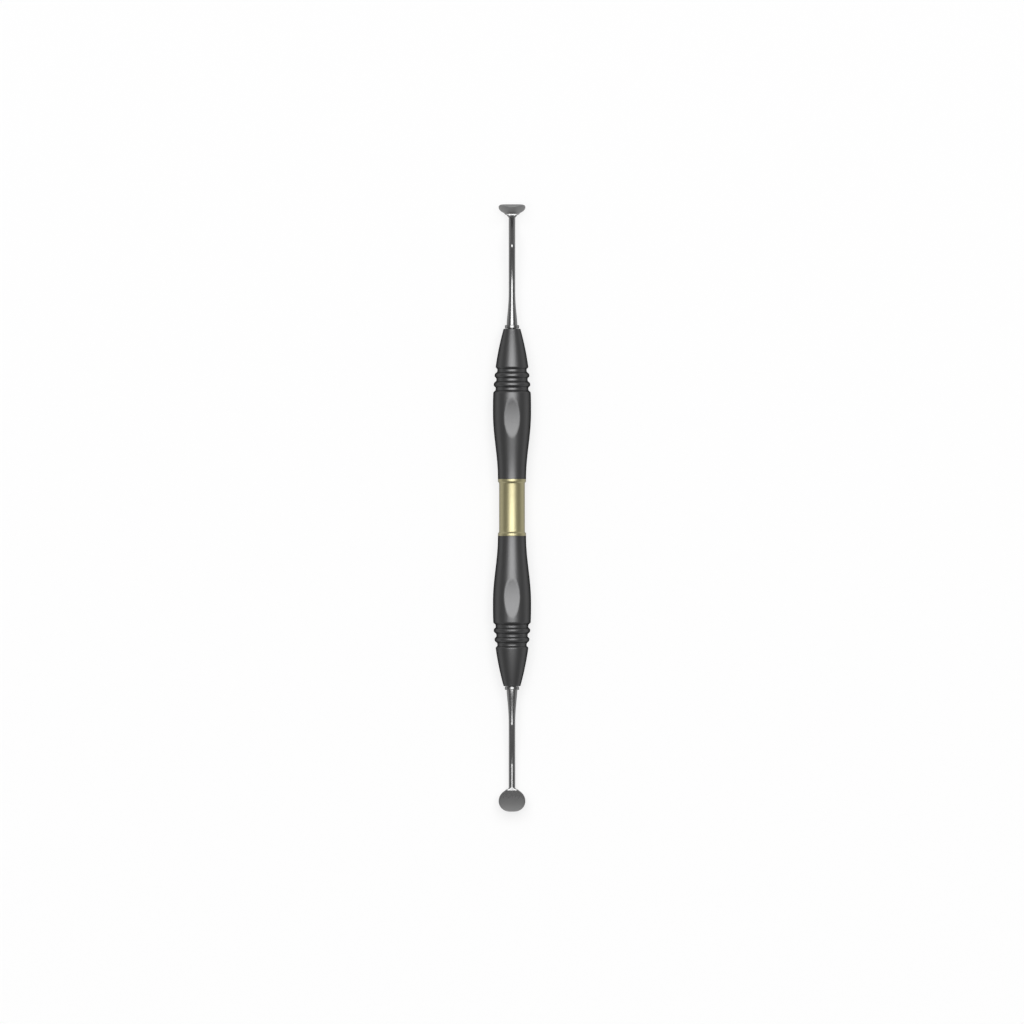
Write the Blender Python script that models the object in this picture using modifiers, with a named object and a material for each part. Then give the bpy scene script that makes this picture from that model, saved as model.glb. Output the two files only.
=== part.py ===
"""Double-ended sinus lift curette: two bent steel working ends, two moulded grips, a sleeve and a core.

Run with: blender --background --python part.py, or from Blender's text editor.
Sizes are in metres. The instrument lies along Y with its handle resting on the plane Z = 0.
Each half of it is modelled in a half frame: Z runs outward from the middle of the handle along its
axis, Y points up from the table and X across.
"""
import math

import bmesh
import bpy
from mathutils import Vector

# Centre sleeve
SLEEVE_LENGTH = 0.0168
SLEEVE_BODY_RADIUS = 0.00382
FLANGE_RADIUS = 0.00418
FLANGE_WIDTH = 0.00065
FLANGE_RAMP = 0.0007

# Grips, with distances measured from the end that meets the sleeve
GRIP_LENGTH = 0.0445
GRIP_WAIST_RADIUS = 0.00418
BARREL_RADIUS = 0.00568
BARREL_DISTANCE = 0.0206
BARREL_LAND = 0.0018
NOSE_RADIUS = 0.00249
GROOVE_DISTANCE = 0.0253
GROOVE_PITCH = 0.00272
GROOVE_DEPTH = 0.00065
GROOVE_COUNT = 3
NOSE_FILLET = 0.0003

# Finger recesses, one of them on top
RECESS_COUNT = 3
RECESS_DISTANCE = 0.0182
RECESS_DEPTH = 0.00055
RECESS_RADIUS = 0.058
RECESS_SLANT = math.radians(2.1)

# Core rod and tangs
CORE_RADIUS = 0.0025
CORE_SETBACK = 0.0070
CORE_CHAMFER = 0.0003
TANG_RADIUS = 0.0012
TANG_LENGTH = 0.0170
TANG_CHAMFER = 0.0003

# Collar and flare at the root of each shank
COLLAR_RADIUS = 0.00212
COLLAR_WIDTH = 0.00100
COLLAR_CROWN = 0.00030
ROOT_RADIUS = 0.00158
SHANK_RADIUS = 0.00095
FLARE_LENGTH = 0.0112
FLARE_SHOULDER = 1.5
FLARE_SWEEP = 3.0

# Upper shank, along its front line: angles are above the axis, lengths from one bend to the next
BEND_INNER_RADIUS = 0.0002
UPPER_STRAIGHT = 0.01165
UPPER_ARCH = 0.0111
UPPER_RISE = math.radians(20)
UPPER_FALL = math.radians(-28)
UPPER_NECK = 0.00902
UPPER_NECK_SET = 0.00052
UPPER_BLADE_ANGLE = math.radians(61)
UPPER_BLADE_END = math.radians(116)

# Lower shank, along its front line
LOWER_STRAIGHT = 0.01025
LOWER_BREAK = math.radians(-10.5)
LOWER_DIP = 0.0067
LOWER_DEEPEST = math.radians(-16)
LOWER_LEVELLING = 0.0052
LOWER_NECK = 0.0072
LOWER_NECK_SET = 0.0001
LOWER_BLADE_ANGLE = math.radians(27)
LOWER_BLADE_END = math.radians(50)

# Blades
BLADE_RADIUS = 0.00392
BLADE_THICKNESS = 0.00055
BLADE_FILLET = 0.0005
BLADE_SQUARENESS = 8.0
NECK_INNER_RADIUS = 0.0007
NECK_LEAD = 0.0003
NECK_TAPER = 0.0012

# Clearances
FIT_GAP = 0.0003
SEAM_GAP = 0.0001

# Facets
TURNED_FACETS = 36
CORE_FACETS = 24
SHANK_FACETS = 20
RECESS_FACETS = 240
GROOVE_STEPS = 6
CURVE_STEPS = 8
RAMP_STEPS = 4
CORNER_STEPS = 3
BEND_STEP = math.radians(7)
TIP_ANGLE = math.radians(172)
RIM_STEPS = 12
NECK_STEPS = 5
RING_GAP = 0.00003
MERGE_DISTANCE = 0.000001

# Places along the axis of a half, worked out from the sizes above
GRIP_START = SLEEVE_LENGTH / 2 + SEAM_GAP
GRIP_END = GRIP_START + GRIP_LENGTH
BARREL_START = GRIP_START + BARREL_DISTANCE - BARREL_LAND / 2
BARREL_END = BARREL_START + BARREL_LAND
GROOVE_START = GRIP_START + GROOVE_DISTANCE
GROOVE_END = GROOVE_START + GROOVE_COUNT * GROOVE_PITCH
CORE_END = GRIP_END - CORE_SETBACK
COLLAR_START = GRIP_END + SEAM_GAP
COLLAR_END = COLLAR_START + COLLAR_WIDTH
TANG_END = COLLAR_START - TANG_LENGTH
SOCKET_RADIUS = TANG_RADIUS + FIT_GAP
SOCKET_END = TANG_END - FIT_GAP
BORE_RADIUS = CORE_RADIUS + FIT_GAP
AXIS_HEIGHT = BARREL_RADIUS * math.cos(math.pi / TURNED_FACETS)
OGIVE_DROP = BARREL_RADIUS - NOSE_RADIUS
OGIVE_RADIUS = ((GRIP_END - BARREL_END) ** 2 + OGIVE_DROP ** 2) / (2 * OGIVE_DROP)
DRUM_LENGTH = 4 * BARREL_RADIUS


def clear_scene():
    """Remove every object that the file opened with."""
    for thing in list(bpy.data.objects):
        bpy.data.objects.remove(thing, do_unlink=True)


def new_collection(name):
    """Make a collection in the scene."""
    collection = bpy.data.collections.new(name)
    bpy.context.scene.collection.children.link(collection)
    return collection


def new_material(name, color, roughness, metallic):
    """Make a material with a Principled BSDF."""
    material = bpy.data.materials.new(name)
    material.use_nodes = True
    shader = material.node_tree.nodes["Principled BSDF"]
    shader.inputs["Base Color"].default_value = (*color, 1.0)
    shader.inputs["Roughness"].default_value = roughness
    shader.inputs["Metallic"].default_value = metallic
    return material


def new_object(name, mesh, collection, frame):
    """Make an object of a mesh and stand it in a half frame."""
    thing = bpy.data.objects.new(name, mesh)
    collection.objects.link(thing)
    thing.parent = frame
    return thing


def new_half_frame(name, collection, middle, turn):
    """Make the empty whose Z runs outward along one half; turn is 0 for the lower, pi for the upper."""
    frame = bpy.data.objects.new(name, None)
    frame.location = (0.0, middle, AXIS_HEIGHT)
    frame.rotation_euler = (math.pi / 2, 0.0, turn)
    collection.objects.link(frame)
    return frame


def turned_mesh(name, outline, closed):
    """Make the edge mesh of a turned shape, half a facet round so that a flat faces the table.

    The outline is (radius, distance) points that run down the outer side, top to bottom.
    """
    half_facet = math.pi / TURNED_FACETS
    points = [(r * math.cos(half_facet), r * math.sin(half_facet), z) for r, z in outline]
    edges = [(i, i + 1) for i in range(len(points) - 1)]
    if closed:
        edges.append((len(points) - 1, 0))
    mesh = bpy.data.meshes.new(name)
    mesh.from_pydata(points, edges, [])
    return mesh


def add_screw(thing, facets):
    """Turn an outline about the half frame's axis."""
    screw = thing.modifiers.new("turn", "SCREW")
    screw.axis = "Z"
    screw.angle = 2 * math.pi
    screw.steps = facets
    screw.render_steps = facets
    screw.use_merge_vertices = True
    screw.merge_threshold = MERGE_DISTANCE
    screw.use_smooth_shade = True


def add_boolean(thing, other, operation):
    """Cut an object with another, or join the two."""
    boolean = thing.modifiers.new(other.name, "BOOLEAN")
    boolean.operation = operation
    boolean.solver = "EXACT"
    boolean.object = other


def keep_as_tool(thing):
    """Show a cutter or a joined piece as a wire that isn't rendered."""
    thing.hide_render = True
    thing.display_type = "WIRE"


def waist_radius(z):
    """Radius of the grip between its inner end and the barrel: one cosine wave from waist to barrel."""
    rise = (z - GRIP_START) / (BARREL_START - GRIP_START)
    return GRIP_WAIST_RADIUS + (BARREL_RADIUS - GRIP_WAIST_RADIUS) * (1 - math.cos(math.pi * rise)) / 2


def ogive_radius(z):
    """Radius of the grip beyond the barrel: a long arc from the barrel's land to the nose."""
    return BARREL_RADIUS - OGIVE_RADIUS + math.sqrt(OGIVE_RADIUS ** 2 - (z - BARREL_END) ** 2)


def grooved_radius(z):
    """Radius of the arc with the finger grooves: waves that only cut inward."""
    wave = 1 - math.cos(2 * math.pi * (z - GROOVE_START) / GROOVE_PITCH)
    return ogive_radius(z) - GROOVE_DEPTH * wave / 2


def spread(start, end, steps):
    """Give steps + 1 evenly spaced values."""
    return [start + (end - start) * i / steps for i in range(steps + 1)]


def grip_outline():
    """Outline of a grip: down the outside from the nose to the waist, then up the stepped bore."""
    fillet_start = GRIP_END - NOSE_FILLET
    fillet_centre = ogive_radius(fillet_start) - NOSE_FILLET
    corner = [(fillet_centre + NOSE_FILLET * math.sin(a), fillet_start + NOSE_FILLET * math.cos(a))
              for a in spread(0.0, math.pi / 2, CORNER_STEPS)]
    cone = [(ogive_radius(z), z) for z in spread(fillet_start, GROOVE_END, CURVE_STEPS)]
    grooves = [(grooved_radius(z), z)
               for z in spread(GROOVE_END, GROOVE_START, GROOVE_COUNT * GROOVE_STEPS)]
    shoulder = [(ogive_radius(z), z) for z in spread(GROOVE_START, BARREL_END, CORNER_STEPS)]
    waist = [(waist_radius(z), z) for z in spread(BARREL_START, GRIP_START, 2 * CURVE_STEPS)]
    step = CORE_END + FIT_GAP
    bore = [(BORE_RADIUS, GRIP_START), (BORE_RADIUS, step),
            (SOCKET_RADIUS, step), (SOCKET_RADIUS, GRIP_END)]
    return corner + cone[1:] + grooves[1:] + shoulder[1:] + waist + bore


def recess_cutters(name, collection, frame):
    """Make the cutters of the finger recesses: long drums that lie across the grip, one on top."""
    reach = RECESS_RADIUS + BARREL_RADIUS - RECESS_DEPTH
    cutters = []
    for i in range(RECESS_COUNT):
        drum = bmesh.new()
        bmesh.ops.create_cone(drum, cap_ends=True, segments=RECESS_FACETS, radius1=RECESS_RADIUS,
                              radius2=RECESS_RADIUS, depth=DRUM_LENGTH)
        mesh = bpy.data.meshes.new(f"{name}_{i + 1}")
        drum.to_mesh(mesh)
        drum.free()
        cutter = new_object(f"{name}_{i + 1}", mesh, collection, frame)
        round_angle = 2 * math.pi * i / RECESS_COUNT
        out = Vector((math.sin(round_angle), math.cos(round_angle), 0.0))
        lean = Vector((0.0, 0.0, -math.sin(RECESS_SLANT) * RECESS_RADIUS))
        place = Vector((0.0, 0.0, GRIP_START + RECESS_DISTANCE))
        cutter.location = place + out * reach + lean
        cutter.rotation_euler = (0.0, math.pi / 2, -round_angle)
        keep_as_tool(cutter)
        cutters.append(cutter)
    return cutters


def make_grip(name, collection, tools, frame, material):
    """Turn a grip and press the finger recesses into it."""
    grip = new_object(name, turned_mesh(name, grip_outline(), True), collection, frame)
    add_screw(grip, TURNED_FACETS)
    for cutter in recess_cutters(f"{name}_recess", tools, frame):
        add_boolean(grip, cutter, "DIFFERENCE")
    grip.data.materials.append(material)
    return grip


def make_sleeve(collection, frame, material):
    """Turn the centre sleeve: a thin body between two low flanges, with a soft ramp behind each."""
    end = SLEEVE_LENGTH / 2
    ramp_start = end - FLANGE_WIDTH
    rise = (FLANGE_RADIUS - SLEEVE_BODY_RADIUS) / 2
    ramp = [(SLEEVE_BODY_RADIUS + rise * (1 + math.cos(math.pi * t)), ramp_start - FLANGE_RAMP * t)
            for t in spread(0.0, 1.0, RAMP_STEPS)]
    upper = [(FLANGE_RADIUS, end)] + ramp
    lower = [(r, -z) for r, z in reversed(upper)]
    bore = [(BORE_RADIUS, -end), (BORE_RADIUS, end)]
    sleeve = new_object("centre_sleeve", turned_mesh("centre_sleeve", upper + lower + bore, True),
                        collection, frame)
    add_screw(sleeve, TURNED_FACETS)
    sleeve.data.materials.append(material)


def make_core(collection, frame, material):
    """Turn the core rod, with a blind socket in each end for a tang."""
    upper = [(0.0, SOCKET_END), (SOCKET_RADIUS, SOCKET_END), (SOCKET_RADIUS, CORE_END),
             (CORE_RADIUS - CORE_CHAMFER, CORE_END), (CORE_RADIUS, CORE_END - CORE_CHAMFER)]
    lower = [(r, -z) for r, z in reversed(upper)]
    core = new_object("handle_core", turned_mesh("handle_core", upper + lower, False), collection, frame)
    add_screw(core, CORE_FACETS)
    core.data.materials.append(material)


def make_tang(name, collection, frame):
    """Turn a tang with its collar, a band with a nearly flat crown and rounded edges."""
    middle = (COLLAR_START + COLLAR_END) / 2
    rim = [(COLLAR_RADIUS - COLLAR_CROWN + COLLAR_CROWN * math.sqrt(math.sin(a)),
            middle + COLLAR_WIDTH / 2 * math.cos(a))
           for a in spread(0.0, math.pi, CURVE_STEPS)]
    outline = [(0.0, COLLAR_END)] + rim + [
        (TANG_RADIUS, COLLAR_START),
        (TANG_RADIUS, TANG_END + TANG_CHAMFER),
        (TANG_RADIUS - TANG_CHAMFER, TANG_END),
        (0.0, TANG_END)]
    tang = new_object(name, turned_mesh(name, outline, False), collection, frame)
    add_screw(tang, CORE_FACETS)
    return tang


class FrontLine:
    """The line that the shank's front follows: legs of constant bend, worked out as arcs."""

    def __init__(self, height, distance):
        self.legs = []
        self.length = 0.0
        self.end = (height, distance)
        self.angle = 0.0

    def leg(self, length, angle):
        """Add a leg that bends evenly to an angle above the axis."""
        self.legs.append((self.length, length, self.end, self.angle, angle))
        self.end = self.at(self.length + length)[0]
        self.length += length
        self.angle = angle

    def bend(self, inner_radius, angle):
        """Add a tight bend with a radius on its inner side."""
        turn = angle - self.angle
        radius = inner_radius if turn > 0 else inner_radius + 2 * SHANK_RADIUS
        self.leg(radius * abs(turn), angle)

    def at(self, run):
        """Give the place (height, distance) and the angle at a length along the line."""
        start, length, (height, distance), first, last = [g for g in self.legs if g[0] <= run][-1]
        angle = first + (last - first) * (run - start) / length
        half_turn = (angle - first) / 2
        chord = (run - start) * (math.sin(half_turn) / half_turn if half_turn else 1.0)
        lean = (first + angle) / 2
        return (height + chord * math.sin(lean), distance + chord * math.cos(lean)), angle

    def stations(self, start, end):
        """Give the lengths where the line is cut: at each leg's end and along each bend."""
        cuts = []
        for leg_start, length, _, first, last in self.legs:
            steps = max(1, math.ceil(abs(last - first) / BEND_STEP))
            cuts += spread(leg_start, leg_start + length, steps)
        inside = [c for c in cuts if start + MERGE_DISTANCE < c < end - MERGE_DISTANCE]
        return [c for i, c in enumerate(inside) if i == 0 or c - inside[i - 1] > MERGE_DISTANCE]


def smooth(x):
    """Ease from 0 to 1."""
    x = min(1.0, max(0.0, x))
    return x * x * (3 - 2 * x)


def flare_radius(distance):
    """Radius of the round shank: wide at the collar and swept down to the plain rod."""
    along = min(1.0, max(0.0, (distance - COLLAR_END) / FLARE_LENGTH))
    return SHANK_RADIUS + (ROOT_RADIUS - SHANK_RADIUS) * (1 - along ** FLARE_SHOULDER) ** FLARE_SWEEP


# The blade's outline is a circle, measured along the blade from its centre. The fillet at its neck is an
# arc that touches the shank's side and the circle.
FILLET_START = -math.sqrt((BLADE_RADIUS + BLADE_FILLET) ** 2 - (SHANK_RADIUS + BLADE_FILLET) ** 2)
FILLET_END = FILLET_START * BLADE_RADIUS / (BLADE_RADIUS + BLADE_FILLET)


def blade_half_width(along):
    """Half the width of the blade and of the neck before it."""
    if along < FILLET_START:
        return SHANK_RADIUS
    if along < FILLET_END:
        return SHANK_RADIUS + BLADE_FILLET - math.sqrt(BLADE_FILLET ** 2 - (along - FILLET_START) ** 2)
    return math.sqrt(BLADE_RADIUS ** 2 - along ** 2)


def section_size(distance, along):
    """Half width, half thickness and squareness of the shank or blade at a station."""
    if along < FILLET_START - NECK_TAPER:
        radius = flare_radius(distance)
        return radius, radius, 2.0
    taper = FILLET_START - NECK_TAPER
    lead = FILLET_START - NECK_LEAD
    thinness = smooth((along - taper) / (FILLET_END - taper))
    flatness = smooth((along - lead) / (FILLET_END - lead))
    thickness = SHANK_RADIUS + (BLADE_THICKNESS / 2 - SHANK_RADIUS) * thinness
    if along > 0:
        thickness *= math.sqrt(1 - (along / BLADE_RADIUS) ** BLADE_SQUARENESS)
    return blade_half_width(along), thickness, 2.0 + (BLADE_SQUARENESS - 2.0) * flatness


def section_ring(line, run, blade_centre):
    """Points of one cross section, set square to the front line and behind it."""
    (height, distance), angle = line.at(run)
    half_width, half_thickness, squareness = section_size(distance, run - blade_centre)
    forward = Vector((0.0, math.cos(angle), -math.sin(angle)))
    centre = Vector((0.0, height, distance)) - forward * min(half_thickness, SHANK_RADIUS)
    ring = []
    for i in range(SHANK_FACETS):
        a = 2 * math.pi * i / SHANK_FACETS
        across = half_width * math.copysign(abs(math.cos(a)) ** (2 / squareness), math.cos(a))
        ring.append(centre + Vector((across, 0.0, 0.0)) + forward * half_thickness * math.sin(a))
    return ring


def spaced(cuts):
    """Sort the lengths where a line is cut and leave out any that would lie on the one before."""
    kept = []
    for cut in sorted(cuts):
        if not kept or cut - kept[-1] > RING_GAP:
            kept.append(cut)
    return kept


def shank_rings(line, blade_centre, blade_start):
    """Cross sections from inside the collar to the tip of the blade."""
    first_bend = line.legs[1][0]
    flare_start = COLLAR_END - line.legs[0][2][1]
    runs = [0.0] + spread(flare_start, min(first_bend, flare_start + FLARE_LENGTH), 2 * CURVE_STEPS)
    neck = spread(blade_centre + FILLET_START - NECK_TAPER, blade_centre + FILLET_END, NECK_STEPS)
    runs += spaced(neck + line.stations(runs[-1], blade_start - RING_GAP))
    start = math.acos((blade_centre - blade_start) / BLADE_RADIUS)
    runs += [blade_centre - BLADE_RADIUS * math.cos(a) for a in spread(start, TIP_ANGLE, RIM_STEPS)]
    return [section_ring(line, run, blade_centre) for run in runs]


def loft_mesh(name, rings):
    """Skin a row of cross sections and close both ends."""
    skin = bmesh.new()
    rows = [[skin.verts.new(point) for point in ring] for ring in rings]
    for one, other in zip(rows, rows[1:]):
        for i in range(SHANK_FACETS):
            j = (i + 1) % SHANK_FACETS
            skin.faces.new((one[i], one[j], other[j], other[i]))
    skin.faces.new(rows[0])
    skin.faces.new(rows[-1])
    bmesh.ops.recalc_face_normals(skin, faces=skin.faces)
    mesh = bpy.data.meshes.new(name)
    skin.to_mesh(mesh)
    skin.free()
    return mesh


def upper_line():
    """Front line of the upper shank: up in a long arch, then sharply down."""
    line = FrontLine(SHANK_RADIUS, (COLLAR_START + COLLAR_END) / 2)
    line.leg(COLLAR_WIDTH / 2 + UPPER_STRAIGHT, 0.0)
    line.leg(UPPER_ARCH, UPPER_RISE)
    line.bend(BEND_INNER_RADIUS, UPPER_FALL)
    line.leg(UPPER_NECK, UPPER_FALL)
    return line


def lower_line():
    """Front line of the lower shank: down, then level again below the axis."""
    line = FrontLine(SHANK_RADIUS, (COLLAR_START + COLLAR_END) / 2)
    line.leg(COLLAR_WIDTH / 2 + LOWER_STRAIGHT, 0.0)
    line.bend(BEND_INNER_RADIUS, LOWER_BREAK)
    line.leg(LOWER_DIP, LOWER_DEEPEST)
    line.leg(LOWER_LEVELLING, 0.0)
    line.leg(LOWER_NECK, 0.0)
    return line


def blade_rings(line, neck_set, blade_angle, blade_end_angle):
    """Bend a front line into its blade, flat to the centre and curled from there, and cut the whole.

    The neck set is how far before the end of the fillet the neck starts to bend.
    """
    blade_centre = line.length + neck_set - FILLET_END
    line.bend(NECK_INNER_RADIUS, blade_angle)
    blade_start = line.length
    line.leg(blade_centre - blade_start, blade_angle)
    line.leg(BLADE_RADIUS, blade_end_angle)
    return shank_rings(line, blade_centre, blade_start)


def make_working_end(name, rings, collection, tools, frame, material):
    """Join a turned tang and the bent shank and blade into one piece of steel."""
    working_end = make_tang(name, collection, frame)
    shank = new_object(f"{name}_shank", loft_mesh(f"{name}_shank", rings), tools, frame)
    shank.data.shade_smooth()
    keep_as_tool(shank)
    add_boolean(working_end, shank, "UNION")
    working_end.data.materials.append(material)


def furthest(rings):
    """How far a working end reaches along the axis."""
    return max(point.z for ring in rings for point in ring)


def main():
    clear_scene()
    parts = new_collection("sinus_lift_curette")
    tools = new_collection("construction")
    steel = new_material("polished_steel", (0.62, 0.62, 0.63), 0.16, 1.0)
    black = new_material("black_grip", (0.035, 0.035, 0.037), 0.42, 0.0)
    gold = new_material("gold_sleeve", (0.60, 0.52, 0.28), 0.22, 1.0)

    upper_rings = blade_rings(upper_line(), UPPER_NECK_SET, UPPER_BLADE_ANGLE, UPPER_BLADE_END)
    lower_rings = blade_rings(lower_line(), LOWER_NECK_SET, LOWER_BLADE_ANGLE, LOWER_BLADE_END)
    middle = (furthest(lower_rings) - furthest(upper_rings)) / 2
    upper_half = new_half_frame("upper_half", parts, middle, math.pi)
    lower_half = new_half_frame("lower_half", parts, middle, 0.0)

    make_core(parts, upper_half, steel)
    make_sleeve(parts, upper_half, gold)
    make_grip("upper_grip", parts, tools, upper_half, black)
    make_grip("lower_grip", parts, tools, lower_half, black)
    make_working_end("upper_working_end", upper_rings, parts, tools, upper_half, steel)
    make_working_end("lower_working_end", lower_rings, parts, tools, lower_half, steel)


main()
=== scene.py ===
# %% [markdown]
# # A double-ended curette on a white table
#
# A sinus lift curette is a slim hand instrument. It has a bent steel shank with a round blade at each
# end, two black moulded grips and a gold-coloured sleeve in the middle of the handle.
#
# The engineering model already holds every piece as a plain faceted solid at its real size. This lesson
# puts a fine surface over each of those solids and finds the finish of each material. Then it lights the
# instrument as a studio would, and looks straight down on it.

# %% Load the solids that set every place and size
import math

import bpy
import numpy as np
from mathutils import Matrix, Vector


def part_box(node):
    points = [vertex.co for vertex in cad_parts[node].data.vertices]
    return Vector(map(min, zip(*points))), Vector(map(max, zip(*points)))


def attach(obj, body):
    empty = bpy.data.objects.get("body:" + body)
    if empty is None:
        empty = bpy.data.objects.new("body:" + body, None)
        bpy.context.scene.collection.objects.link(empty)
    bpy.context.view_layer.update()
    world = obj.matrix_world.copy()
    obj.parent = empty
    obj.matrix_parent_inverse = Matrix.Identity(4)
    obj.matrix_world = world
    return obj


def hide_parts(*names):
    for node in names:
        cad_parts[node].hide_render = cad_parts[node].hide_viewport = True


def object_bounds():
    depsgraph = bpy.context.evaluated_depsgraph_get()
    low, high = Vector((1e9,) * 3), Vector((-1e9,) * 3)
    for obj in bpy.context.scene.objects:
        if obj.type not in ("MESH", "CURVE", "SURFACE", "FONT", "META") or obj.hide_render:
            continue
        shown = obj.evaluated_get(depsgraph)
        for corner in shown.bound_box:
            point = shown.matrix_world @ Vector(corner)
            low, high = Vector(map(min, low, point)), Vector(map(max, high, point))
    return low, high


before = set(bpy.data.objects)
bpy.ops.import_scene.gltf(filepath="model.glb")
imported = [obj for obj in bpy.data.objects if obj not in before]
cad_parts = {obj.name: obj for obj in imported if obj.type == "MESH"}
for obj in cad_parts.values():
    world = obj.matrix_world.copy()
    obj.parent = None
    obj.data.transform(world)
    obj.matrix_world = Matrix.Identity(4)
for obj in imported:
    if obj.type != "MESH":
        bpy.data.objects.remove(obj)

cad_low, cad_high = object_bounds()
print("solids:", ", ".join(sorted(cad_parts)))

# %% [markdown]
# ## The axis that everything is turned about
#
# A handle like this is turned on a lathe or moulded in a round cavity, so every piece of it shares one
# axis. The hidden core rod gives that axis: the middle of its box is the middle of the handle. Each half
# of the instrument is described by three lengths: across, up and out along the axis. One function turns
# them into the table's X, Y and Z. It only turns and never mirrors, so faces that point outwards in a
# half still point outwards on the table.

# %% Find the handle's axis and middle
UPPER = 1
LOWER = -1

core_low, core_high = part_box("handle_core")
middle = (core_low.y + core_high.y) / 2
axis_height = (core_low.z + core_high.z) / 2


def place(points, side):
    """Points (across, up, out) of a half as X = -side * across, Y = middle + side * out, Z = axis + up."""
    across, up, out = np.moveaxis(points, -1, 0)
    return np.stack([-side * across, middle + side * out, axis_height + up], axis=-1)


print(f"axis {axis_height * 1000:.3f} mm above the table, middle at Y = {middle * 1000:.3f} mm")

# %% [markdown]
# ## Grids of points and the skin over them
#
# A smooth machine-made surface is a function of two numbers: how far along the piece, and how far round
# it. Worked out over whole arrays, such a function gives a grid of points. The skin joins each four
# neighbours by a face. A tube that runs back into itself, such as a grip with its bore, closes in both
# directions. A bar closes round itself, and each of its ends closes to one point.

# %% Make a mesh object from a grid of points
SHARP_ANGLE = math.radians(40)


def quads(rows, columns, looped):
    """Faces of a grid: point (i, j), its neighbour round, and the same two of the next row."""
    last = rows if looped else rows - 1
    i, j = np.meshgrid(np.arange(last), np.arange(columns), indexing="ij")
    below = (i + 1) % rows
    beside = (j + 1) % columns
    corners = [i * columns + j, i * columns + beside, below * columns + beside, below * columns + j]
    return np.stack(corners, axis=-1).reshape(-1, 4)


def skin(name, points, material, node, ends=None):
    """Cover a grid of shape (rows, columns, 3); ends are the two points that close a bar."""
    rows, columns = points.shape[:2]
    vertices = points.reshape(-1, 3)
    faces = quads(rows, columns, ends is None).tolist()
    if ends is not None:
        first, last = len(vertices), len(vertices) + 1
        here = np.arange(columns)
        beside = (here + 1) % columns
        far = (rows - 1) * columns
        faces += np.stack([np.full(columns, first), beside, here], axis=-1).tolist()
        faces += np.stack([far + here, far + beside, np.full(columns, last)], axis=-1).tolist()
        vertices = np.concatenate([vertices, ends])
    mesh = bpy.data.meshes.new(name)
    mesh.from_pydata(vertices.tolist(), [], faces)
    mesh.shade_smooth()
    mesh.set_sharp_from_angle(angle=SHARP_ANGLE)
    mesh.materials.append(material)
    piece = bpy.data.objects.new(name, mesh)
    bpy.context.scene.collection.objects.link(piece)
    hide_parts(node)
    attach(piece, "root")
    print(f"{name}: {rows} rows of {columns} points")
    return piece


def turned(radius, out, columns):
    """A turned surface: (r cos a, r sin a, z) for each radius r at each distance z and each angle a."""
    angle = np.arange(columns) * 2 * np.pi / columns
    shape = (len(radius), columns)
    return np.stack([np.outer(radius, np.cos(angle)), np.outer(radius, np.sin(angle)),
                     np.broadcast_to(out[:, None], shape)], axis=-1)


print(f"edges sharper than {math.degrees(SHARP_ANGLE):.0f} degrees stay sharp")

# %% [markdown]
# ## Node tools for the finishes
#
# Real finishes are never one flat value. A ground shank has fine lines along it, a moulded grip has a
# fine grain, and a turned sleeve has rings too fine to count. All three come from the same recipe: a
# noise on the object's own coordinates, which a Mapping node stretches one way where the finish has
# lines. It moves the roughness a little, and lifts the surface by about a thousandth of a millimetre at
# most.

# %% Write the shared recipe of a finish
GRAIN_DETAIL = 3.0
GRAIN_LOW = 0.3
GRAIN_HIGH = 0.7


def finish_with_grain(name, color, metallic, roughness, grain_scale, grain_stretch, grain_height):
    """A Principled material whose roughness runs between two values and whose grain is a noise."""
    material = bpy.data.materials.new(name)
    material.use_nodes = True
    nodes, links = material.node_tree.nodes, material.node_tree.links
    shader = nodes["Principled BSDF"]
    shader.inputs["Base Color"].default_value = (*color, 1.0)
    shader.inputs["Metallic"].default_value = metallic

    coordinates = nodes.new("ShaderNodeTexCoord")
    stretch = nodes.new("ShaderNodeMapping")
    stretch.inputs["Scale"].default_value = grain_stretch
    grain = nodes.new("ShaderNodeTexNoise")
    grain.inputs["Scale"].default_value = grain_scale
    grain.inputs["Detail"].default_value = GRAIN_DETAIL
    links.new(coordinates.outputs["Object"], stretch.inputs["Vector"])
    links.new(stretch.outputs["Vector"], grain.inputs["Vector"])

    sheen_range = nodes.new("ShaderNodeMapRange")
    sheen_range.inputs["From Min"].default_value = GRAIN_LOW
    sheen_range.inputs["From Max"].default_value = GRAIN_HIGH
    sheen_range.inputs["To Min"].default_value = roughness[0]
    sheen_range.inputs["To Max"].default_value = roughness[1]
    links.new(grain.outputs["Fac"], sheen_range.inputs["Value"])
    links.new(sheen_range.outputs["Result"], shader.inputs["Roughness"])

    bump = nodes.new("ShaderNodeBump")
    bump.inputs["Strength"].default_value = 1.0
    bump.inputs["Distance"].default_value = grain_height
    links.new(grain.outputs["Fac"], bump.inputs["Height"])
    links.new(bump.outputs["Normal"], shader.inputs["Normal"])
    print(f"finish {name}: roughness {roughness[0]} to {roughness[1]}")
    return material, shader


print(f"the middle of the noise, {GRAIN_LOW} to {GRAIN_HIGH}, spans each roughness")

# %% [markdown]
# ## The steel
#
# The working ends are stainless steel, ground along their length and then polished. Steel has no colour
# of its own, so it is a metal with a neutral grey, and what it shows is the studio. The edge tint makes
# it a little darker where it turns away, as the polished edges of the real one are.
#
# The blades are duller than the shanks: a fine blast takes the mirror off a face and leaves it rougher.
# Their grey is painted paler as well, and on the lower blade lighter toward the tip: this is painted light,
# which brightens the blades and shades the spoon from its neck to its tip. Both finishes live in one
# material. Each point of a working end carries a number, 0 for polished and 1 for blasted and painted paler.
# It adds roughness, and it moves the grey from the polished one to the painted paler one. Past 1, the grey
# stays and the face only grows rougher.

# %% Polished steel, and satin steel with painted light on the blades
POLISHED_GREY = 0.215
# The blades' grey, painted paler than the polished steel: painted light that brightens them.
SATIN_GREY_AND_PAINTED_LIGHT = 0.36
SATIN_ROUGHNESS = 0.38

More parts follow.
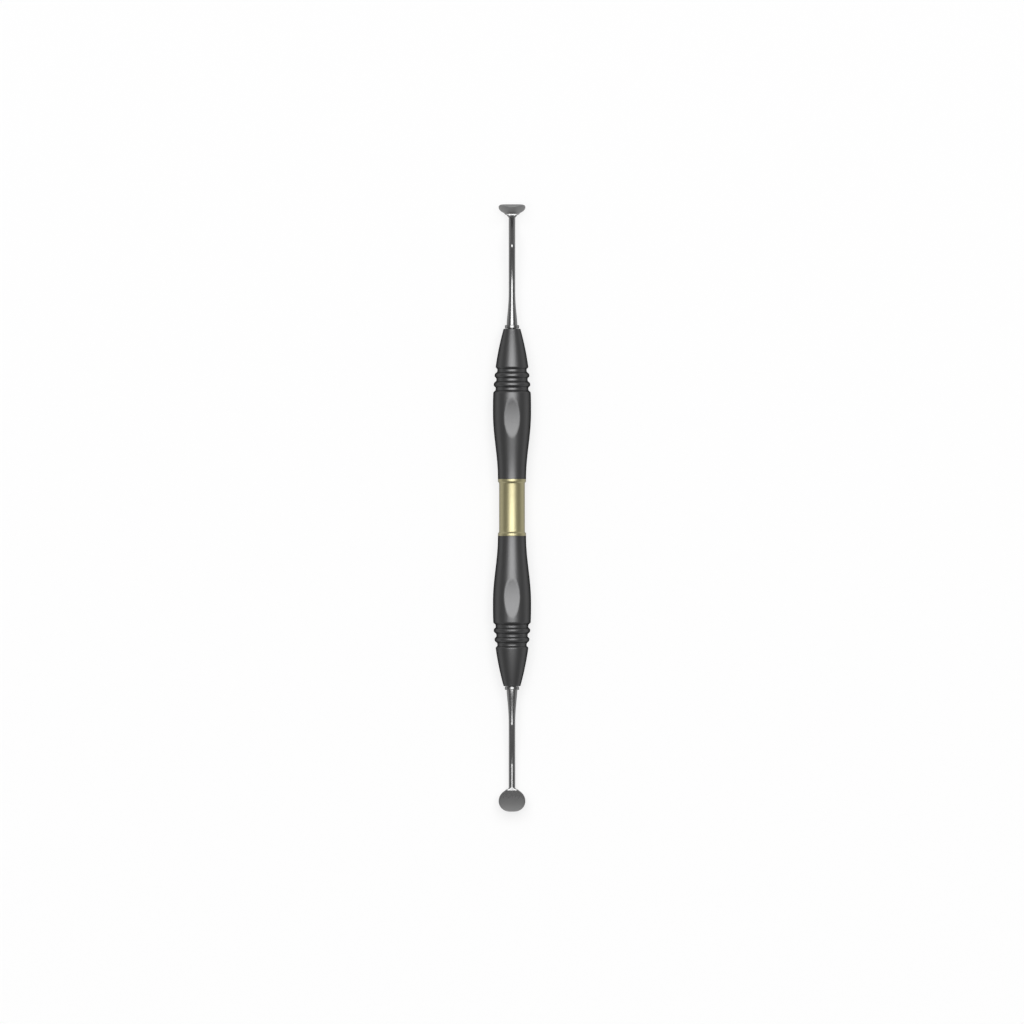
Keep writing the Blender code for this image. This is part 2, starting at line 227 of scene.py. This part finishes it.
steel, steel_shader = finish_with_grain(
    "polished_steel", color=(POLISHED_GREY,) * 3, metallic=1.0, roughness=(0.19, 0.25),
    grain_scale=2600.0, grain_stretch=(1.0, 0.04, 1.0), grain_height=0.00000012)
steel_shader.inputs["Specular Tint"].default_value = (0.40, 0.40, 0.40, 1.0)

steel_nodes, steel_links = steel.node_tree.nodes, steel.node_tree.links
satin_and_light_node = steel_nodes.new("ShaderNodeAttribute")
satin_and_light_node.attribute_name = "satin_and_painted_light"
rougher = steel_nodes.new("ShaderNodeMath")
rougher.operation = "MULTIPLY_ADD"
rougher.inputs[1].default_value = SATIN_ROUGHNESS
steel_links.new(satin_and_light_node.outputs["Fac"], rougher.inputs[0])
steel_links.new(steel_shader.inputs["Roughness"].links[0].from_socket, rougher.inputs[2])
steel_links.new(rougher.outputs["Value"], steel_shader.inputs["Roughness"])
# Painted light: the share moves the base colour from the polished grey to the painted paler blade grey.
painted_paler_grey = steel_nodes.new("ShaderNodeMapRange")
painted_paler_grey.inputs["To Min"].default_value = POLISHED_GREY
painted_paler_grey.inputs["To Max"].default_value = SATIN_GREY_AND_PAINTED_LIGHT
steel_links.new(satin_and_light_node.outputs["Fac"], painted_paler_grey.inputs["Value"])
steel_links.new(painted_paler_grey.outputs["Result"], steel_shader.inputs["Base Color"])
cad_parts["handle_core"].data.materials.clear()
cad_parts["handle_core"].data.materials.append(steel)
print(f"satin steel: grey {SATIN_GREY_AND_PAINTED_LIGHT}, rougher by {SATIN_ROUGHNESS}")

# %% [markdown]
# ## The black of the grips
#
# The grips are moulded from a black resin with a satin skin. Under a soft box they show one broad
# highlight along the top and stay nearly black at the sides, even above a white table. A clear-coated
# plastic would pick up that table at its sides. A dark dull metal doesn't, when its edge tint is black:
# the tint takes the reflection away where the surface turns from the eye. The middling roughness spreads
# the highlight.

# %% Black moulded grip
black, black_shader = finish_with_grain(
    "black_grip", color=(0.105, 0.105, 0.106), metallic=1.0, roughness=(0.38, 0.44),
    grain_scale=5200.0, grain_stretch=(1.0, 1.0, 1.0), grain_height=0.0000012)
black_shader.inputs["Specular Tint"].default_value = (0.0, 0.0, 0.0, 1.0)

# %% [markdown]
# ## The gold of the sleeve
#
# The sleeve is a metal tube with a thin clear coat. The metal is an olive gold. The coat reflects white,
# so the gold turns to cream where the soft box falls on it. The turning lines run round it, so the noise
# is stretched round the axis and packed close along it.

# %% Gold-coloured sleeve
gold, gold_shader = finish_with_grain(
    "gold_sleeve", color=(0.355, 0.32, 0.165), metallic=1.0, roughness=(0.39, 0.45),
    grain_scale=3000.0, grain_stretch=(0.02, 1.0, 0.02), grain_height=0.0000002)
gold_shader.inputs["Specular Tint"].default_value = (0.15, 0.15, 0.2, 1.0)
gold_shader.inputs["Coat Weight"].default_value = 0.6
gold_shader.inputs["Coat Roughness"].default_value = 0.38
gold_shader.inputs["Coat IOR"].default_value = 1.9

# %% [markdown]
# ## The moulded grips
#
# Each grip starts narrow at the sleeve, swells in one long wave to a barrel, and tapers in a long arc to
# a small nose. Three grooves cut into the arc leave two rings between them for the fingertips. On the
# barrel are three shallow finger recesses, one of them on top.
#
# The outline is a formula for each stretch, and the stretches are joined end to end. Each groove is one
# wave, eased a second time so that its floor and the ring beside it are broad and its walls short. Points
# lie closer together where the form is fine: over the recesses and in the grooves. The barrel's radius is
# the axis height, so that the grip just touches the table. The solids keep a tenth of a millimetre
# between grip and sleeve, and both surfaces reach into that gap until only a hair is left of it.

# %% The grip's outline, from the sleeve to the nose
grip_low, grip_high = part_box("upper_grip")
GRIP_START = grip_low.y - middle
GRIP_END = grip_high.y - middle
SEAM_CLOSURE = 0.000045
GRIP_FACE = GRIP_START - SEAM_CLOSURE
WAIST_RADIUS = 0.00418
NOSE_RADIUS = 0.00249
NOSE_FILLET = 0.0003
BARREL_START = GRIP_START + 0.0197
BARREL_END = BARREL_START + 0.0018
GROOVE_START = GRIP_START + 0.0253
GROOVE_PITCH = 0.00272
GROOVE_COUNT = 3
GROOVE_DEPTH = 0.00065
CORE_BORE_RADIUS = 0.0028
TANG_BORE_RADIUS = 0.0015
CORE_CLEARANCE = 0.0003
CORE_BORE_END = core_high.y - middle + CORE_CLEARANCE

barrel_radius = axis_height
groove_end = GROOVE_START + GROOVE_COUNT * GROOVE_PITCH
arc_drop = barrel_radius - NOSE_RADIUS
arc_radius = ((GRIP_END - BARREL_END) ** 2 + arc_drop ** 2) / (2 * arc_drop)


def grip_radius(z):
    """Waist to barrel is half a cosine wave, then a level land, then an arc less an eased wave a groove."""
    rise = np.clip((z - GRIP_START) / (BARREL_START - GRIP_START), 0.0, 1.0)
    swell = WAIST_RADIUS + (barrel_radius - WAIST_RADIUS) * (1 - np.cos(np.pi * rise)) / 2
    beyond = np.maximum(z - BARREL_END, 0.0)
    fall = arc_radius - np.sqrt(arc_radius ** 2 - beyond ** 2)
    wave = (1 - np.cos(2 * np.pi * (z - GROOVE_START) / GROOVE_PITCH)) / 2
    broad_wave = wave * wave * (3 - 2 * wave)
    inside = (z > GROOVE_START) & (z < groove_end)
    return swell - fall - GROOVE_DEPTH * broad_wave * inside


print(f"barrel {2 * barrel_radius * 1000:.2f} mm across, arc radius {arc_radius * 1000:.1f} mm")

# %% [markdown]
# The recesses are where a large drum, laid across the grip, has pressed into it. Across the drum its
# surface is level, so at an angle away from the recess's middle it is met further out, by one over the
# cosine. More than 60 degrees from that middle, the drum is out of reach. The grip keeps whichever is
# nearer the axis, its own radius or the drum. A soft minimum rounds the edge between the two by about a
# tenth of a millimetre, as a mould does.

# %% Press the finger recesses
RECESS_COUNT = 3
RECESS_MIDDLE = GRIP_START + 0.0182
RECESS_DEPTH = 0.00055
RECESS_RADIUS = 0.058
RECESS_SLANT = math.radians(2.1)
RECESS_EDGE = 0.00012
LEAST_FACING = math.cos(math.radians(60))
BEYOND_REACH = 1.0


def soft_minimum(a, b, width):
    """The lesser of a and b, rounded off by a parabola where they differ by less than width."""
    share = np.clip(0.5 + (b - a) / (2 * width), 0.0, 1.0)
    return b + (a - b) * share - width * share * (1 - share)


def pressed(points):
    """Pull the points of a turned grip in to the drums' surfaces."""
    across, up, out = np.moveaxis(points, -1, 0)
    radius = np.hypot(across, up)
    angle = np.arctan2(up, across)
    drum_middle = RECESS_MIDDLE - math.sin(RECESS_SLANT) * RECESS_RADIUS
    bowl = np.sqrt(RECESS_RADIUS ** 2 - np.minimum(np.abs(out - drum_middle), RECESS_RADIUS) ** 2)
    drum_height = RECESS_RADIUS + barrel_radius - RECESS_DEPTH - bowl
    new_radius = radius
    for i in range(RECESS_COUNT):
        facing = np.cos(angle - np.pi / 2 - 2 * np.pi * i / RECESS_COUNT)
        met = np.where(facing > LEAST_FACING, drum_height / np.maximum(facing, LEAST_FACING), BEYOND_REACH)
        new_radius = soft_minimum(new_radius, met, RECESS_EDGE)
    scale = np.where(radius > barrel_radius / 2, new_radius / radius, 1.0)
    return np.stack([across * scale, up * scale, out], axis=-1)


print(f"{RECESS_COUNT} recesses a grip, {RECESS_DEPTH * 1000:.2f} mm deep")

# %% Skin both grips
GRIP_COLUMNS = 288
WAIST_END = GRIP_START + 0.011
WAIST_ROWS = 28
BARREL_ROWS = 130
GROOVE_ROWS = 84
NOSE_ROWS = 26
FILLET_ROWS = 7

fillet_angle = np.linspace(0.0, np.pi / 2, FILLET_ROWS)[1:]
fillet_start = GRIP_END - NOSE_FILLET
z = np.concatenate([
    np.linspace(GRIP_FACE, WAIST_END, WAIST_ROWS, endpoint=False),
    np.linspace(WAIST_END, GROOVE_START, BARREL_ROWS, endpoint=False),
    np.linspace(GROOVE_START, groove_end, GROOVE_ROWS, endpoint=False),
    np.linspace(groove_end, fillet_start, NOSE_ROWS)])
outer_radius = np.concatenate([
    grip_radius(z),
    grip_radius(np.array([fillet_start])) - NOSE_FILLET * (1 - np.cos(fillet_angle))])
outer_z = np.concatenate([z, fillet_start + NOSE_FILLET * np.sin(fillet_angle)])
bore_radius = np.array([TANG_BORE_RADIUS, TANG_BORE_RADIUS, CORE_BORE_RADIUS, CORE_BORE_RADIUS])
bore_z = np.array([GRIP_END, CORE_BORE_END, CORE_BORE_END, GRIP_FACE])
grip_points = pressed(turned(np.concatenate([outer_radius, bore_radius]),
                             np.concatenate([outer_z, bore_z]), GRIP_COLUMNS))
skin("upper_grip_skin", place(grip_points, UPPER), black, "upper_grip")
skin("lower_grip_skin", place(grip_points, LOWER), black, "lower_grip")

# %% [markdown]
# ## The sleeve
#
# The gold sleeve is a thin tube with a low flange at each end, and it is turned as one piece with its
# bore. A soft ramp leads from the flange down to the body, so the light breaks once behind each flange.

# %% Turn the centre sleeve
SLEEVE_COLUMNS = 192
BODY_RADIUS = 0.00382
FLANGE_RADIUS = 0.00418
FLANGE_WIDTH = 0.00065
FLANGE_RAMP = 0.0007
EDGE_ROUND = 0.00008
EDGE_ROWS = 6
RAMP_ROWS = 15

sleeve_low, sleeve_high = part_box("centre_sleeve")
sleeve_end = (sleeve_high.y - sleeve_low.y) / 2 + SEAM_CLOSURE
quarter = np.linspace(0.0, np.pi / 2, EDGE_ROWS)
ramp = np.linspace(0.0, 1.0, RAMP_ROWS)
upper_radius = np.concatenate([
    FLANGE_RADIUS - EDGE_ROUND * (1 - np.sin(quarter)),
    (FLANGE_RADIUS + BODY_RADIUS) / 2 + (FLANGE_RADIUS - BODY_RADIUS) / 2 * np.cos(np.pi * ramp)])
upper_z = np.concatenate([
    sleeve_end - EDGE_ROUND * (1 - np.cos(quarter)),
    sleeve_end - FLANGE_WIDTH - FLANGE_RAMP * ramp])
sleeve_radius = np.concatenate([
    [CORE_BORE_RADIUS], upper_radius, upper_radius[::-1], [CORE_BORE_RADIUS]])[::-1]
sleeve_z = np.concatenate([[sleeve_end], upper_z, -upper_z[::-1], [-sleeve_end]])[::-1]
skin("centre_sleeve_skin", place(turned(sleeve_radius, sleeve_z, SLEEVE_COLUMNS), UPPER), gold,
     "centre_sleeve")

# %% [markdown]
# ## The line of a bent shank
#
# A shank is bent from straight bar in a fixture. Its front, the side that faces up here, follows a line
# of legs: a leg either runs straight or bends evenly, so the line's angle changes evenly along it. To get
# the line itself, the angle is read off between the ends of the legs, and its cosine and sine are added
# up step by step.

# %% Work out a line from the angles at the ends of its legs
LINE_STEPS = 20001


def bent_line(lengths, angles, height, distance):
    """Lengths of the legs and the angle at each leg's end give functions of the run along the line."""
    knots = np.concatenate([[0.0], np.cumsum(lengths)])
    turns = np.concatenate([[0.0], angles])
    run = np.linspace(0.0, knots[-1], LINE_STEPS)
    angle = np.interp(run, knots, turns)
    step = run[1]
    up = height + np.concatenate([[0.0], np.cumsum(np.sin((angle[1:] + angle[:-1]) / 2)) * step])
    out = distance + np.concatenate([[0.0], np.cumsum(np.cos((angle[1:] + angle[:-1]) / 2)) * step])
    return run, up, out, angle


print(f"a line is added up in {LINE_STEPS - 1} steps")

# %% [markdown]
# ## The section of a shank and blade
#
# Across the line, the bar is round at first: wide at the collar, then swept down to the plain rod. Past
# the neck it is forged flat, and its outline widens into a round blade. One family of curves covers it
# all: half width times cos u, and half thickness times the root of 1 less |cos u| to a power. The power
# is 2 for a circle and 8 for a flat blade with rounded edges.

# %% Sizes of the working ends
COLLAR_SEAM = 0.0001
COLLAR_START = GRIP_END + COLLAR_SEAM
COLLAR_WIDTH = 0.00100
COLLAR_RADIUS = 0.00212
COLLAR_CROWN = 0.00030
COLLAR_SQUARENESS = 8
TANG_RADIUS = 0.0012
TANG_LENGTH = 0.0170
TANG_CHAMFER = 0.0003
ROOT_RADIUS = 0.00158
ROD_RADIUS = 0.00095
FLARE_LENGTH = 0.0112
FLARE_SHOULDER = 1.5
FLARE_SWEEP = 3
BLADE_RADIUS = 0.00396
BLADE_THICKNESS = 0.00055
TIP_SQUARENESS = 8
ROUND_POWER = 2.0
FLAT_POWER = 8.0
NECK_FILLET = 0.0005
FLATTENING = 0.0008
BEND_INNER_RADIUS = 0.0002
UPPER_NECK_RADIUS = 0.0001
LOWER_NECK_RADIUS = 0.0005

collar_end = COLLAR_START + COLLAR_WIDTH
collar_middle = COLLAR_START + COLLAR_WIDTH / 2
fillet_near = -math.sqrt((BLADE_RADIUS + NECK_FILLET) ** 2 - (ROD_RADIUS + NECK_FILLET) ** 2)
fillet_far = fillet_near * BLADE_RADIUS / (BLADE_RADIUS + NECK_FILLET)
print(f"the neck's fillet runs from {-fillet_near * 1000:.2f} to {-fillet_far * 1000:.2f} mm off the centre")

# %% The section at each station
def eased(x, start, end):
    """0 before start and 1 after end, with 3t^2 - 2t^3 between, so that it starts and stops softly."""
    t = np.clip((x - start) / (end - start), 0.0, 1.0)
    return t * t * (3 - 2 * t)


def sections(out, along):
    """Half width, half thickness and power, by distance out and by distance along from the blade's centre.

    The rod flares to its root by (1 - f^1.5)^3, where f is the share of the flare passed. The neck's
    fillet is an arc, the blade is a circle, and the flatness eases from the rod to the blade.
    """
    flare = np.clip((out - collar_end) / FLARE_LENGTH, 0.0, 1.0)
    rod = ROD_RADIUS + (ROOT_RADIUS - ROD_RADIUS) * (1 - flare ** FLARE_SHOULDER) ** FLARE_SWEEP
    flatness = eased(along, fillet_near, fillet_near + FLATTENING)
    fillet = ROD_RADIUS + NECK_FILLET - np.sqrt(
        np.maximum(NECK_FILLET ** 2 - np.clip(along - fillet_near, 0.0, NECK_FILLET) ** 2, 0.0))
    disc = np.sqrt(np.maximum(BLADE_RADIUS ** 2 - along ** 2, 0.0))
    width = np.where(along < fillet_near, rod, np.where(along < fillet_far, fillet, disc))
    thick = rod + (BLADE_THICKNESS / 2 - rod) * flatness
    toward_edge = np.clip(along / BLADE_RADIUS, 0.0, 1.0) ** TIP_SQUARENESS
    thick = thick * np.sqrt(np.maximum(1 - toward_edge, 0.0))
    return width, thick, ROUND_POWER + (FLAT_POWER - ROUND_POWER) * flatness


print(f"rod {2 * ROD_RADIUS * 1000:.2f} mm thick, blade {2 * BLADE_RADIUS * 1000:.2f} mm across")

# %% [markdown]
# The working end is one piece of steel from the tang in the handle to the tip of the blade, so it is one
# grid. The tang and the collar are turned, and only the radius changes along them: the collar is a band
# with rounded edges. From the collar on, each section is set square to the front line and just behind it.

# %% Build a working end
SHANK_COLUMNS = 72
SHANK_STEP = 0.00004
RIM_ROWS = 110
RIM_END = math.radians(179)
COLLAR_ROWS = 33
SATIN_AND_LIGHT_FROM = -0.0030


def bend_length(inner_radius, start, end):
    """A tight bend's length on the front line: the inner radius there, or the outer one on a fall."""
    radius = inner_radius if end > start else inner_radius + 2 * ROD_RADIUS
    return radius * abs(end - start)


def working_end(name, node, side, lengths, angles, neck_radius, neck_set, blade_angle, tip_angle, satin_and_painted_light):
    """One grid: turned tang and collar, then sections carried along the bent line to the blade's tip.

    The neck's set moves the blade along the line, and the last argument is the share of blast finish and
    painted paler grey at the neck and at the tip.
    """
    neck_bend = bend_length(neck_radius, angles[-1], blade_angle)
    blade_centre = sum(lengths) + neck_set - fillet_far
    blade_start = sum(lengths) + neck_bend
    run, up, out, angle = bent_line(lengths + [neck_bend, blade_centre - blade_start, BLADE_RADIUS],
                                    angles + [blade_angle, blade_angle, tip_angle],
                                    ROD_RADIUS, collar_middle)
    shank_rows = int((blade_start - COLLAR_WIDTH / 2) / SHANK_STEP)
    rim = np.linspace(math.acos((blade_centre - blade_start) / BLADE_RADIUS), RIM_END, RIM_ROWS)
    station = np.concatenate([np.linspace(COLLAR_WIDTH / 2, blade_start, shank_rows),
                              blade_centre - BLADE_RADIUS * np.cos(rim[1:])])
    station_up = np.interp(station, run, up)
    station_out = np.interp(station, run, out)
    station_angle = np.interp(station, run, angle)
    width, thick, power = sections(station_out, station - blade_centre)

    u = np.arange(SHANK_COLUMNS) * 2 * np.pi / SHANK_COLUMNS
    across = width[:, None] * np.cos(u)
    bulge = np.sign(np.sin(u)) * np.sqrt(np.maximum(1 - np.abs(np.cos(u)) ** power[:, None], 0.0))
    behind = np.minimum(thick, ROD_RADIUS)[:, None] - thick[:, None] * bulge
    bar = np.stack([across,
                    station_up[:, None] - behind * np.cos(station_angle)[:, None],
                    station_out[:, None] + behind * np.sin(station_angle)[:, None]], axis=-1)

    arc = np.linspace(0.0, np.pi, COLLAR_ROWS)[:-1]
    tang_end = COLLAR_START - TANG_LENGTH
    tang_radius = np.array([TANG_RADIUS - TANG_CHAMFER, TANG_RADIUS, TANG_RADIUS])
    tang_out = np.array([tang_end, tang_end + TANG_CHAMFER, COLLAR_START])
    edge = np.sqrt(1 - np.cos(arc) ** COLLAR_SQUARENESS)
    crown = COLLAR_RADIUS - COLLAR_CROWN * (1 - edge)
    root = turned(np.concatenate([tang_radius, crown]),
                  np.concatenate([tang_out, collar_middle - COLLAR_WIDTH / 2 * np.cos(arc)]), SHANK_COLUMNS)
    ends = place(np.array([[0.0, 0.0, tang_end], bar[-1].mean(axis=0)]), side)
    piece = skin(name, place(np.concatenate([root, bar]), side), steel, node, ends)
    along = station - blade_centre
    # The share rises from the neck to the tip. Besides roughness it paints the blade's grey paler, and the
    # lower blade lighter toward its tip: painted light and painted shading.
    toward_tip = np.interp(along, [SATIN_AND_LIGHT_FROM, BLADE_RADIUS], [0.0, 1.0]) ** 2
    share = eased(along, fillet_far, SATIN_AND_LIGHT_FROM) * (satin_and_painted_light[0] + (satin_and_painted_light[1] - satin_and_painted_light[0]) * toward_tip)
    of_rows = np.repeat(np.concatenate([np.zeros(len(root)), share]), SHANK_COLUMNS)
    attribute = piece.data.attributes.new("satin_and_painted_light", "FLOAT", "POINT")
    attribute.data.foreach_set("value", np.append(of_rows, [0.0, satin_and_painted_light[1]]))


print(f"a row of {SHANK_COLUMNS} points every {SHANK_STEP * 1000:.2f} mm of a shank")

# %% [markdown]
# ## The two shanks
#
# The upper shank runs straight, rises in a long arch and bends sharply down. At its neck a short, nearly
# level land catches the light, and then the blade turns up steeply and curls past square like a small
# hoe. The lower shank dips below the axis and levels again over a slight crest, and its blade tips up
# like a small spoon. The picture looks straight down, so it doesn't show these heights. They are judged
# from the shading and from how such instruments are bent.

# %% Bend and skin the upper working end
UPPER_STRAIGHT = 0.01165
UPPER_ARCH = 0.0111
UPPER_FALL = 0.00936
UPPER_LAND = 0.00036
UPPER_NECK_SET = -0.00045
# Share of blast finish and painted paler grey, at the neck and at the tip.
UPPER_SATIN_AND_PAINTED_LIGHT = (0.95, 1.6)

rise, fall, land, upper_blade, upper_tip = (math.radians(a) for a in (20, -26, -3, 61.3, 116))
working_end("upper_working_end_skin", "upper_working_end", UPPER,
            [COLLAR_WIDTH / 2 + UPPER_STRAIGHT, UPPER_ARCH, bend_length(BEND_INNER_RADIUS, rise, fall),
             UPPER_FALL, bend_length(BEND_INNER_RADIUS, fall, land), UPPER_LAND],
            [0.0, rise, fall, fall, land, land],
            UPPER_NECK_RADIUS, UPPER_NECK_SET, upper_blade, upper_tip, UPPER_SATIN_AND_PAINTED_LIGHT)

# %% Bend and skin the lower working end
LOWER_STRAIGHT = 0.01025
LOWER_DIP = 0.0067
LOWER_LEVELLING = 0.0049
CREST_RISE = 0.0003
CREST_FALL = 0.0004
LOWER_NECK = 0.0070
LOWER_NECK_SET = -0.00022
# Share of blast finish and painted paler grey; it rises toward the tip and paints the spoon lighter there.
LOWER_SATIN_AND_PAINTED_LIGHT = (0.1, 0.9)

dip, deepest, before, crest, level = (math.radians(a) for a in (-10.5, -15, -4.2, 1, -1.4))
lower_blade, lower_tip = (math.radians(a) for a in (27, 50))
working_end("lower_working_end_skin", "lower_working_end", LOWER,
            [COLLAR_WIDTH / 2 + LOWER_STRAIGHT, bend_length(BEND_INNER_RADIUS, 0.0, dip), LOWER_DIP,
             LOWER_LEVELLING, CREST_RISE, CREST_FALL, LOWER_NECK],
            [0.0, dip, deepest, before, crest, level, level],
            LOWER_NECK_RADIUS, LOWER_NECK_SET, lower_blade, lower_tip, LOWER_SATIN_AND_PAINTED_LIGHT)

# %% [markdown]
# ## The studio
#
# The picture is a plain catalogue shot: a white table, one large soft box above and a little beyond the
# instrument, and a grey room round it. The table is a pale floor that curves up to a low wall far away.
# A share of its white is its own glow, seen by the camera and by every mirror, so it stays white in the
# picture and still takes the instrument's soft shadow.
#
# Polished steel is only as interesting as the room it stands in. So the room is darkest half way up and
# brighter at the horizon, and it glows overhead round the soft box and toward the far end. Those glows
# give the shanks their soft grey bands and shade the spoon from its neck to its tip, together with the
# paler grey painted onto the spoon toward its tip.

# %% The white table
FLOOR_RADIUS = 12.0
FLOOR_RINGS = [0.01, 1.0, 4.0]
FLOOR_COLUMNS = 48
WALL_HEIGHT = 1.3
COVE_DEPTH = 1.0
COVE_ROWS = 9
FLOOR_COLOR = 0.25
FLOOR_GLOW = 0.71

cove = np.linspace(0.0, np.pi / 2, COVE_ROWS)
floor_radius = np.concatenate([FLOOR_RINGS, FLOOR_RADIUS - COVE_DEPTH + COVE_DEPTH * np.sin(cove)])
floor_height = np.concatenate([np.zeros(len(FLOOR_RINGS)), WALL_HEIGHT * (1 - np.cos(cove))])
floor_points = turned(floor_radius, floor_height, FLOOR_COLUMNS).reshape(-1, 3)
floor_mesh = bpy.data.meshes.new("table")
floor_faces = quads(len(floor_radius), FLOOR_COLUMNS, False)[:, ::-1].tolist()
innermost = np.arange(FLOOR_COLUMNS)
floor_middle = np.full(FLOOR_COLUMNS, len(floor_points))
floor_faces += np.stack([innermost, (innermost + 1) % FLOOR_COLUMNS, floor_middle], axis=-1).tolist()
floor_mesh.from_pydata(np.concatenate([floor_points, np.zeros((1, 3))]).tolist(), [], floor_faces)
floor_mesh.shade_smooth()
table = bpy.data.objects.new("table", floor_mesh)
bpy.context.scene.collection.objects.link(table)

white = bpy.data.materials.new("white_table")
white.use_nodes = True
white_nodes, white_links = white.node_tree.nodes, white.node_tree.links
white_shader = white_nodes["Principled BSDF"]
white_shader.inputs["Base Color"].default_value = (FLOOR_COLOR, FLOOR_COLOR, FLOOR_COLOR, 1.0)
white_shader.inputs["Roughness"].default_value = 1.0
white_shader.inputs["Specular IOR Level"].default_value = 0.0
white_shader.inputs["Emission Color"].default_value = (1.0, 1.0, 1.0, 1.0)
ray = white_nodes.new("ShaderNodeLightPath")
either = white_nodes.new("ShaderNodeMath")
either.operation = "MAXIMUM"
any_of = white_nodes.new("ShaderNodeMath")
any_of.operation = "MAXIMUM"
glow = white_nodes.new("ShaderNodeMath")
glow.operation = "MULTIPLY"
glow.inputs[1].default_value = FLOOR_GLOW
white_links.new(ray.outputs["Is Camera Ray"], either.inputs[0])
white_links.new(ray.outputs["Is Glossy Ray"], either.inputs[1])
white_links.new(either.outputs["Value"], any_of.inputs[0])
white_links.new(ray.outputs["Is Transmission Ray"], any_of.inputs[1])
white_links.new(any_of.outputs["Value"], glow.inputs[0])
white_links.new(glow.outputs["Value"], white_shader.inputs["Emission Strength"])
floor_mesh.materials.append(white)
print(f"table {2 * FLOOR_RADIUS:.0f} m across, with a wall {WALL_HEIGHT} m high")

# %% The grey room and the soft box
ROOM_ABOVE = 0.30
ROOM_LEVEL = 0.48
CEILING_GLOW = 0.40
CEILING_POWER = 8.0
FAR_END_GLOW = 0.55
FAR_END_POWER = 8.0
BOX_DISTANCE = 5.0
BOX_TILT = math.radians(12.5)
BOX_HALF_ACROSS = math.radians(24)
BOX_HALF_ALONG = math.radians(18.5)
BOX_RADIANCE = 5.0

world = bpy.data.worlds.new("grey_room")
bpy.context.scene.world = world
world.use_nodes = True
world_nodes, world_links = world.node_tree.nodes, world.node_tree.links
world_nodes.clear()
direction = world_nodes.new("ShaderNodeTexCoord")
split = world_nodes.new("ShaderNodeSeparateXYZ")
walls = world_nodes.new("ShaderNodeMapRange")
walls.inputs["To Min"].default_value = ROOM_LEVEL
walls.inputs["To Max"].default_value = ROOM_ABOVE
background = world_nodes.new("ShaderNodeBackground")
output = world_nodes.new("ShaderNodeOutputWorld")
world_links.new(direction.outputs["Generated"], split.inputs["Vector"])
world_links.new(split.outputs["Z"], walls.inputs["Value"])


def glow_toward(axis, power, strength, base):
    """Add strength * max(c, 0) ^ power to base, where c is the direction's share along the axis."""
    share = world_nodes.new("ShaderNodeMath")
    share.operation = "MAXIMUM"
    share.inputs[1].default_value = 0.0
    narrowed = world_nodes.new("ShaderNodeMath")
    narrowed.operation = "POWER"
    narrowed.inputs[1].default_value = power
    added = world_nodes.new("ShaderNodeMath")
    added.operation = "MULTIPLY_ADD"
    added.inputs[1].default_value = strength
    world_links.new(split.outputs[axis], share.inputs[0])
    world_links.new(share.outputs["Value"], narrowed.inputs[0])
    world_links.new(narrowed.outputs["Value"], added.inputs[0])
    world_links.new(base, added.inputs[2])
    return added.outputs["Value"]


with_ceiling = glow_toward("Z", CEILING_POWER, CEILING_GLOW, walls.outputs["Result"])
with_far_end = glow_toward("Y", FAR_END_POWER, FAR_END_GLOW, with_ceiling)
world_links.new(with_far_end, background.inputs["Strength"])
world_links.new(background.outputs["Background"], output.inputs["Surface"])

box = bpy.data.lights.new("soft_box", "AREA")
box.shape = "RECTANGLE"
box.size = 2 * BOX_DISTANCE * math.tan(BOX_HALF_ACROSS)
box.size_y = 2 * BOX_DISTANCE * math.tan(BOX_HALF_ALONG)
box.energy = BOX_RADIANCE * math.pi * box.size * box.size_y
box_object = bpy.data.objects.new("soft_box", box)
box_object.location = (0.0, BOX_DISTANCE * math.sin(BOX_TILT), BOX_DISTANCE * math.cos(BOX_TILT))
box_object.rotation_euler = (-BOX_TILT, 0.0, 0.0)
box_object.visible_camera = False
bpy.context.scene.collection.objects.link(box_object)
print(f"soft box {box.size:.2f} by {box.size_y:.2f} m, {box.energy:.0f} W")

# %% [markdown]
# ## The camera
#
# The picture shows the instrument upright and square on, which for a thing that lies on a table means
# straight from above. A long lens far away keeps the parts that stand up from growing.

# %% Look straight down
PICTURE_SIZE = 1024
PICTURE_LENGTH = 606.7
PICTURE_CENTRE = 508.05
LENS = 300.0
SENSOR = 36.0

pixel = (cad_high.y - cad_low.y) / PICTURE_LENGTH
view_width = PICTURE_SIZE * pixel
camera_data = bpy.data.cameras.new("camera")
camera_data.lens = LENS
camera_data.sensor_width = SENSOR
camera_data.clip_start = 0.1
camera_data.clip_end = 100.0
camera = bpy.data.objects.new("camera", camera_data)
camera.location = (0.0, (PICTURE_CENTRE - PICTURE_SIZE / 2) * pixel,
                   axis_height + view_width * LENS / SENSOR)
bpy.context.scene.collection.objects.link(camera)
bpy.context.scene.camera = camera
bpy.context.scene.view_settings.view_transform = "Standard"
print(f"one pixel is {pixel * 1000:.4f} mm, camera {camera.location.z:.3f} m up")
